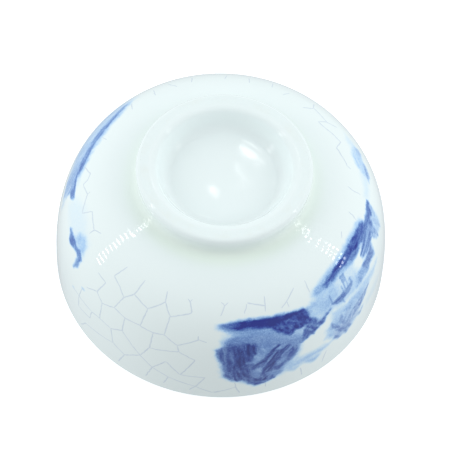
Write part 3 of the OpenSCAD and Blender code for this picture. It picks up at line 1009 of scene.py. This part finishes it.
def ribbons(name, lines, width, material, step=0.9):
    """Fine lines laid in the surface of the wall, as thin closed strips a hair proud of it."""
    sunk, proud = -0.06, 0.012  # mm, the underside and the top of a strip
    verts, faces = [], []
    rng = np.random.default_rng(5)
    for line in lines:
        q, d = along(np.array(line, float) * [RAD, 1], step)
        n = len(q)
        q = q + rng.normal(0, 0.06, q.shape) * (np.arange(n)[:, None] % (n - 1) > 0)
        side = np.stack([-d[:, 1], d[:, 0]], 1)
        w = width / 2 * rng.uniform(0.75, 1.2, n)
        w[[0, -1]] *= 0.6
        first = len(verts)
        for sign, level in ((-1, sunk), (-1, proud), (1, proud), (1, sunk)):
            e = q + side * (sign * w)[:, None]
            verts.extend(wall_at(e[:, 0] / RAD, e[:, 1], level))
        for i in range(n - 1):
            for k in range(4):
                a, b = first + k * n + i, first + ((k + 1) % 4) * n + i
                faces.append([a, a + 1, b + 1, b])
        faces.append([first + k * n for k in range(4)])
        faces.append([first + k * n + n - 1 for k in (3, 2, 1, 0)])
    verts = np.array(verts)
    if volume(verts, faces) < 0:
        faces = [f[::-1] for f in faces]
    obj = build_mesh(name, verts, faces, material)
    obj.data.set_sharp_from_angle(angle=math.radians(30))
    return obj


# The crackle lines, as degrees round and mm up the wall
CRACKLE = [
    [(-42, 14), (-44.5, 19.5), (-40.5, 20.8), (-36.8, 23.3)],
    [(-32.2, 14), (-33.5, 20), (-36.8, 23.3), (-39, 29.6)],
    [(-33.5, 20), (-26.5, 22.3), (-20.8, 17.5), (-21.5, 14)],
    [(-20.8, 17.5), (-17.5, 21.7), (-9.5, 18.5), (-11.2, 15), (-12.3, 14.3)], [(-11.2, 15), (-10.5, 14.2)],
    [(-17.5, 21.7), (-18.2, 29.4)], [(-26.5, 22.3), (-27.5, 30)], [(-39, 29.6), (-33.8, 30.5), (-27.5, 30),
    (-22.2, 30.4), (-18.2, 29.4), (-13.2, 32.5), (-5.8, 28), (-6.2, 26.5)], [(-5.8, 28), (-3, 28.8)],
    [(-13.2, 32.5), (-12.3, 35.3), (-22.8, 38.3)], [(-12.3, 35.3), (-6.5, 38), (-11.3, 48)],
    [(-22.2, 30.4), (-22.8, 38.3), (-26, 44.8)], [(-33.8, 30.5), (-33.8, 37), (-38.5, 40.2)],
    [(-33.8, 37), (-26, 44.8), (-21.2, 48.8), (-23.5, 56.5)], [(-26, 44.8), (-32, 50), (-34.5, 57)],
    [(-21.2, 48.8), (-16.5, 42.3), (-11.3, 48), (-2.8, 47.2), (-6, 53.8), (-8, 56.8)],
    [(-21.2, 48.8), (-15.3, 51.5), (-6, 53.8), (-0.5, 56.8), (4.5, 55)], [(-15.3, 51.5), (-17, 56.5)],
    [(-38.5, 40.2), (-37, 47.3), (-32, 50)], [(-37, 47.3), (-50.5, 51.5), (-53.5, 56.5)],
    [(-38.5, 40.2), (-44, 40), (-48, 40.8), (-48.5, 45.5), (-55.5, 47)], [(-48, 40.8), (-60, 41.5)],
    [(-44, 40), (-44.2, 32), (-39, 29.6)], [(-44.2, 32), (-48, 29.6), (-46, 23.7), (-51, 23.2)],
    [(-48, 29.6), (-53, 32.7)], [(-55, 36), (-55.8, 41), (-55.5, 47)],
    [(-62, 14), (-65.5, 15.7), (-65.5, 18)], [(-65.5, 15.7), (-73.8, 14.2), (-75.5, 18.3), (-83, 15),
    (-88.5, 17), (-90, 15), (-93, 14.2), (-97.5, 17.5)], [(-83, 15), (-83.5, 14)],
    [(-111.3, 12.5), (-112.6, 15)], [(-131.5, 12.5), (-134.5, 16)], [(-144.5, 12), (-146, 16)],
    [(-155.5, 12), (-153, 16)], [(-162.7, 12.5), (-164, 16.5)], [(-178, 13), (-179, 16)],
    [(1.5, 14), (3, 15), (1.5, 18.5)], [(3, 15), (4.5, 14)], [(12, 15), (10.8, 18)],
    [(12.3, 14.6), (19.5, 16.6)], [(19.8, 13.5), (19, 18.5)], [(25.5, 19), (28.3, 17.3), (33, 14.3)],
    [(28.3, 17.3), (28.5, 19.5)], [(38.7, 14), (38.4, 18.3)], [(65.5, 13), (68, 11.8)],
    [(79, 11.8), (78.3, 13.5), (77.2, 15.2)], [(92, 10.5), (90.5, 12.5), (90, 15.5)], [(102, 12.6),
    (103.3, 11.5), (114, 9.8), (117, 13), (126, 10.6), (131, 10), (129.3, 13.3), (125.5, 16)],
    [(129.3, 13.3), (139, 14.2), (139.6, 12.5), (141.8, 10.5)], [(139, 14.2), (141, 17)],
    [(153.5, 11), (152, 14)], [(160, 13), (161, 16.5)], [(170.5, 12), (171.5, 15.5)],
    [(7.3, 50), (7.5, 53.2), (9, 57.5)], [(7.5, 53.2), (0.5, 57)], [(17.5, 53), (18, 56)],
    [(30.3, 51), (31.3, 56.5)], [(41, 49.5), (39.3, 55.5)],
]

clay = biscuit()
for name in ("bowl_body", "foot_ring"):
    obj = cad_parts[name]
    obj.data.materials.clear()
    obj.data.materials.append(clay)

outer = outer_coat(glaze("painted_glaze", painted=True))
inner = inner_coat(glaze("clear_glaze"))
pit = well_coat(glaze("well_glaze_finish", ripple=0.01))
# no glaze pool tint and no painted shade on the coats inside the bowl and in the well
for coat in (inner, pit):
    give(coat, "glaze_pool_and_painted_shade", np.zeros(len(coat.data.vertices)))
crackle = ribbons("crackle_lines", CRACKLE, 0.4, line_ink())

for piece, cad, finish in ((outer, "outer_glaze", "painted_glaze"), (inner, "inner_glaze", "clear_glaze"),
                           (pit, "well_glaze", "clear_glaze"), (crackle, None, "painted_glaze")):
    if cad:
        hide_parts(cad)
    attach(piece, "root")


# ---------------- floors

def floor_material(name):
    """Pale paper that shows only from its own side."""
    m, t, shader = new_material(name)
    colour = mix_colour(t, mottle(t, 30, 3), srgb(250, 251, 252), srgb(244, 246, 248))
    t.links.new(colour, shader.inputs["Base Color"])
    shader.inputs["Roughness"].default_value = 0.9
    shader.inputs["Specular IOR Level"].default_value = 0.1
    shader.inputs["Emission Color"].default_value = (1, 1, 1, 1)
    shader.inputs["Emission Strength"].default_value = 0.35
    side = node(t, "ShaderNodeNewGeometry")
    clear = node(t, "ShaderNodeBsdfTransparent")
    mix = node(t, "ShaderNodeMixShader")
    t.links.new(side.outputs["Backfacing"], mix.inputs[0])
    t.links.new(shader.outputs[0], mix.inputs[1])
    t.links.new(clear.outputs[0], mix.inputs[2])
    t.links.new(mix.outputs[0], t.nodes["Material Output"].inputs[0])
    return m


def floor(name, z, faces_up, squares=24, half=2.5):
    """A wide flat sheet, half metres out from its middle each way, shown only to the camera."""
    g = np.linspace(-half, half, squares + 1)
    x, y = np.meshgrid(g, g)
    verts = np.stack([x.ravel(), y.ravel(), np.full(x.size, z)], 1)
    faces = []
    for j in range(squares):
        for i in range(squares):
            k = j * (squares + 1) + i
            q = [k, k + 1, k + squares + 2, k + squares + 1]
            faces.append(q if faces_up else q[::-1])
    me = bpy.data.meshes.new(name)
    me.from_pydata(verts.tolist(), [], faces)
    me.materials.append(floor_material(name))
    obj = bpy.data.objects.new(name, me)
    scene.collection.objects.link(obj)
    obj.visible_diffuse = obj.visible_glossy = obj.visible_transmission = obj.visible_shadow = False


FLOOR_GAP = 0.00005  # metres between the bowl and each floor
floor("floor", cad_lo.z - FLOOR_GAP, True)
floor("floor_under_mouth", cad_hi.z + FLOOR_GAP, False)
